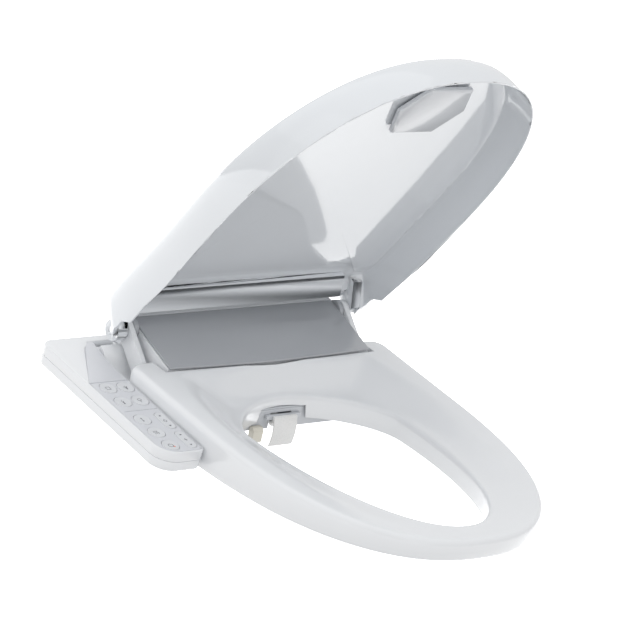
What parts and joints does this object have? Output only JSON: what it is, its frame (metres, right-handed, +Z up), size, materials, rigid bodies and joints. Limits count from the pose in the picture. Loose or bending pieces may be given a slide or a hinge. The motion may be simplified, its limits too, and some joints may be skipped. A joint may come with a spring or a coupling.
{
  "type": "electric bidet seat",
  "caption": "Electric bidet seat with a dished ring, a standing lid, a side control arm with press buttons and a sliding wash nozzle behind a swinging gate.",
  "frame": {"origin": "on the face that is bolted down on the bowl, midway between the two bolts", "axes": "+Z up; -Y towards the front of the seat; the control arm is on the -X side"},
  "size_m": [0.4578, 0.5331, 0.5215],
  "materials": {
    "shell": "gloss white",
    "underside": "satin white",
    "fascia": "satin light grey film",
    "cap": "satin light grey",
    "nozzle": "gloss off-white",
    "block": "satin beige",
    "rubber": "matt light grey",
    "metal": "brushed",
    "board": "green solder mask",
    "tank": "natural",
    "motor": "dark grey",
    "foil": "film heater"
  },
  "bodies": {
    "housing": {"mounting_plate": "metal", "base_tray": "underside", "front_cover": "underside", "housing_cover": "shell", "top_plate": "shell", "rear_deck_panel": "underside", "arm_tray": "shell", "arm_cover": "shell", "control_fascia": "fascia", "arm_cheek": "fascia", "control_board": "board", "main_board": "board", "heater_tank": "tank", "solenoid_valve": "motor", "deodoriser_fan": "motor", "water_inlet": "metal", "cable_gland": "rubber", "nozzle_cradle": "underside", "nozzle_motor": "motor", "gate_bracket": "underside", "nozzle_rinse_block": "block", "hinge_damper_left": "cap", "hinge_damper_right": "cap", "hinge_pin_left": "metal", "hinge_pin_right": "metal"},
    "seat": {"seat_top_shell": "shell", "seat_bottom_shell": "underside", "seat_heater_left": "foil", "seat_heater_right": "foil", "seat_lug_left": "shell", "seat_lug_right": "shell", "seat_bumper_front_left": "rubber", "seat_bumper_front_right": "rubber", "seat_bumper_rear_left": "rubber", "seat_bumper_rear_right": "rubber"},
    "lid": {"lid_shell": "shell", "lid_washer_left": "cap", "lid_washer_right": "cap", "lid_pad": "cap"},
    "nozzle": {"nozzle_wand": "nozzle", "nozzle_head": "nozzle"},
    "gate": {"nozzle_gate": "nozzle"},
    "stop_button": {"button_stop": "cap"},
    "rear_button": {"button_rear": "cap"},
    "soft_button": {"button_soft": "cap"},
    "front_button": {"button_front": "cap"},
    "oscillate_button": {"button_oscillate": "cap"},
    "dryer_button": {"button_dryer": "cap"},
    "power_button": {"button_power": "cap"},
    "pressure_button": {"button_pressure": "cap"},
    "position_button": {"button_position": "cap"},
    "release": {"release_button": "cap"}
  },
  "joints": [
    {"name": "lid_hinge", "type": "hinge", "parent": "housing", "child": "lid", "pos_m": [0, 0.0134, 0.0916], "axis": [-1, 0, 0], "range_deg": [-61.5, 45]},
    {"name": "seat_hinge", "type": "hinge", "parent": "housing", "child": "seat", "pos_m": [0, 0.0134, 0.0916], "axis": [-1, 0, 0], "range_deg": [0, 58]},
    {"name": "nozzle_slide", "type": "slide", "parent": "housing", "child": "nozzle", "axis": [0, -0.866, -0.5], "range_m": [0, 0.055]},
    {"name": "gate_swing", "type": "hinge", "parent": "housing", "child": "gate", "pos_m": [0, -0.104, 0.02], "axis": [-1, 0, 0], "range_deg": [0, 96]},
    {"name": "stop_press", "type": "slide", "parent": "housing", "child": "stop_button", "axis": [0, 0.1133, -0.9936], "range_m": [0, 0.0008], "stiffness_N_per_m": 1200},
    {"name": "rear_press", "type": "slide", "parent": "housing", "child": "rear_button", "axis": [0, 0.1133, -0.9936], "range_m": [0, 0.0008], "stiffness_N_per_m": 1200},
    {"name": "soft_press", "type": "slide", "parent": "housing", "child": "soft_button", "axis": [0, 0.1133, -0.9936], "range_m": [0, 0.0008], "stiffness_N_per_m": 1200},
    {"name": "front_press", "type": "slide", "parent": "housing", "child": "front_button", "axis": [0, 0.1133, -0.9936], "range_m": [0, 0.0008], "stiffness_N_per_m": 1200},
    {"name": "oscillate_press", "type": "slide", "parent": "housing", "child": "oscillate_button", "axis": [0, 0.1133, -0.9936], "range_m": [0, 0.0008], "stiffness_N_per_m": 1200},
    {"name": "dryer_press", "type": "slide", "parent": "housing", "child": "dryer_button", "axis": [0, 0.1133, -0.9936], "range_m": [0, 0.0008], "stiffness_N_per_m": 1200},
    {"name": "power_press", "type": "slide", "parent": "housing", "child": "power_button", "axis": [0, 0.1133, -0.9936], "range_m": [0, 0.0008], "stiffness_N_per_m": 1200},
    {"name": "pressure_press", "type": "slide", "parent": "housing", "child": "pressure_button", "axis": [0, 0.1133, -0.9936], "range_m": [0, 0.0008], "stiffness_N_per_m": 1200},
    {"name": "position_press", "type": "slide", "parent": "housing", "child": "position_button", "axis": [0, 0.1133, -0.9936], "range_m": [0, 0.0008], "stiffness_N_per_m": 1200},
    {"name": "release_press", "type": "slide", "parent": "housing", "child": "release", "axis": [-1, 0, 0], "range_m": [0, 0.004], "stiffness_N_per_m": 500}
  ],
  "couplings": [
    {"joint": "gate_swing", "follows": "nozzle_slide", "rad_per_m": 30.1}
  ]
}
